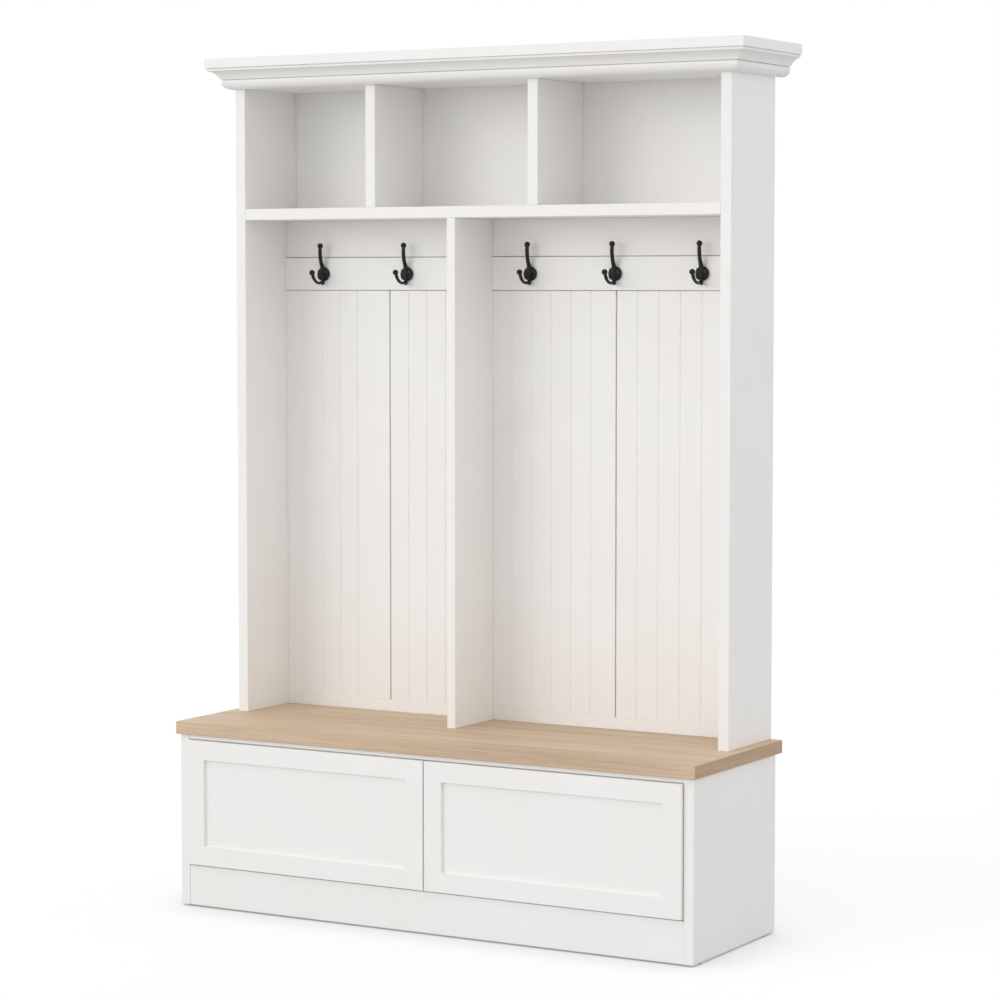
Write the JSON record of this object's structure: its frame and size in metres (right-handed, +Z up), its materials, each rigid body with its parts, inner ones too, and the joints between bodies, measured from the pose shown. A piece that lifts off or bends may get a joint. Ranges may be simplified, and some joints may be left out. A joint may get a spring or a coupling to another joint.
{
  "type": "hall tree with hooks",
  "caption": "Tall white hall tree: a drawer bench with an oak seat, a beadboard back with black coat hooks, open cubbies above and a moulded crown.",
  "frame": {"origin": "on the floor, under the middle of the whole piece", "axes": "+X to the right seen from the front, +Y to the back (the wall), +Z up; the drawers open along -Y"},
  "size_m": [1.279, 0.4244, 1.828],
  "materials": {
    "white_paint": "satin white lacquer on MDF",
    "oak_seat": "light oak veneer with fine straight grain, matt clear coat",
    "drawer_box": "white foil on particle board",
    "black_iron": "satin black powder coat with a fine cast texture",
    "zinc_steel": "bright zinc plating",
    "glide_plastic": "matt nylon"
  },
  "bodies": {
    "cabinet": {"base_side_left": "white_paint", "base_side_right": "white_paint", "base_partition": "white_paint", "base_bottom": "white_paint", "plinth": "white_paint", "seat_stretchers": "white_paint", "base_back": "white_paint", "seat_top": "oak_seat", "floor_glides": "glide_plastic", "cabinet_slide_rails": "zinc_steel", "hutch_side_left": "white_paint", "hutch_side_right": "white_paint", "centre_divider": "white_paint", "shelf": "white_paint", "cubby_divider_left": "white_paint", "cubby_divider_right": "white_paint", "hutch_top": "white_paint", "cubby_back": "white_paint", "crown_nailer": "white_paint", "crown_front": "white_paint", "crown_left": "white_paint", "crown_right": "white_paint", "crown_cap": "white_paint", "beadboard_1": "white_paint", "beadboard_2": "white_paint", "beadboard_3": "white_paint", "beadboard_4": "white_paint", "foot_strips": "white_paint", "upper_boards": "white_paint", "hook_rail_left": "white_paint", "hook_rail_right": "white_paint", "bay_battens": "white_paint", "hook_1": "black_iron", "hook_2": "black_iron", "hook_3": "black_iron", "hook_4": "black_iron", "hook_5": "black_iron", "hook_screws": "black_iron", "knock_down_fittings": "zinc_steel", "wall_brackets": "zinc_steel"},
    "left_drawer": {"left_front_stiles": "white_paint", "left_front_rails": "white_paint", "left_front_panel": "white_paint", "left_drawer_subfront": "drawer_box", "left_drawer_sides": "drawer_box", "left_drawer_back": "drawer_box", "left_drawer_bottom": "drawer_box", "left_front_screws": "zinc_steel", "left_drawer_slides": "zinc_steel"},
    "right_drawer": {"right_front_stiles": "white_paint", "right_front_rails": "white_paint", "right_front_panel": "white_paint", "right_drawer_subfront": "drawer_box", "right_drawer_sides": "drawer_box", "right_drawer_back": "drawer_box", "right_drawer_bottom": "drawer_box", "right_front_screws": "zinc_steel", "right_drawer_slides": "zinc_steel"},
    "left_middle_slide": {"left_middle_slides": "zinc_steel"},
    "right_middle_slide": {"right_middle_slides": "zinc_steel"}
  },
  "joints": [
    {"name": "left_drawer_slide", "type": "slide", "parent": "cabinet", "child": "left_drawer", "axis": [0, -1, 0], "range_m": [0, 0.28]},
    {"name": "left_middle_slide_slide", "type": "slide", "parent": "cabinet", "child": "left_middle_slide", "axis": [0, -1, 0], "range_m": [0, 0.14]},
    {"name": "right_drawer_slide", "type": "slide", "parent": "cabinet", "child": "right_drawer", "axis": [0, -1, 0], "range_m": [0, 0.28]},
    {"name": "right_middle_slide_slide", "type": "slide", "parent": "cabinet", "child": "right_middle_slide", "axis": [0, -1, 0], "range_m": [0, 0.14]}
  ],
  "couplings": [
    {"joint": "left_middle_slide_slide", "follows": "left_drawer_slide", "ratio": 0.5},
    {"joint": "right_middle_slide_slide", "follows": "right_drawer_slide", "ratio": 0.5}
  ]
}
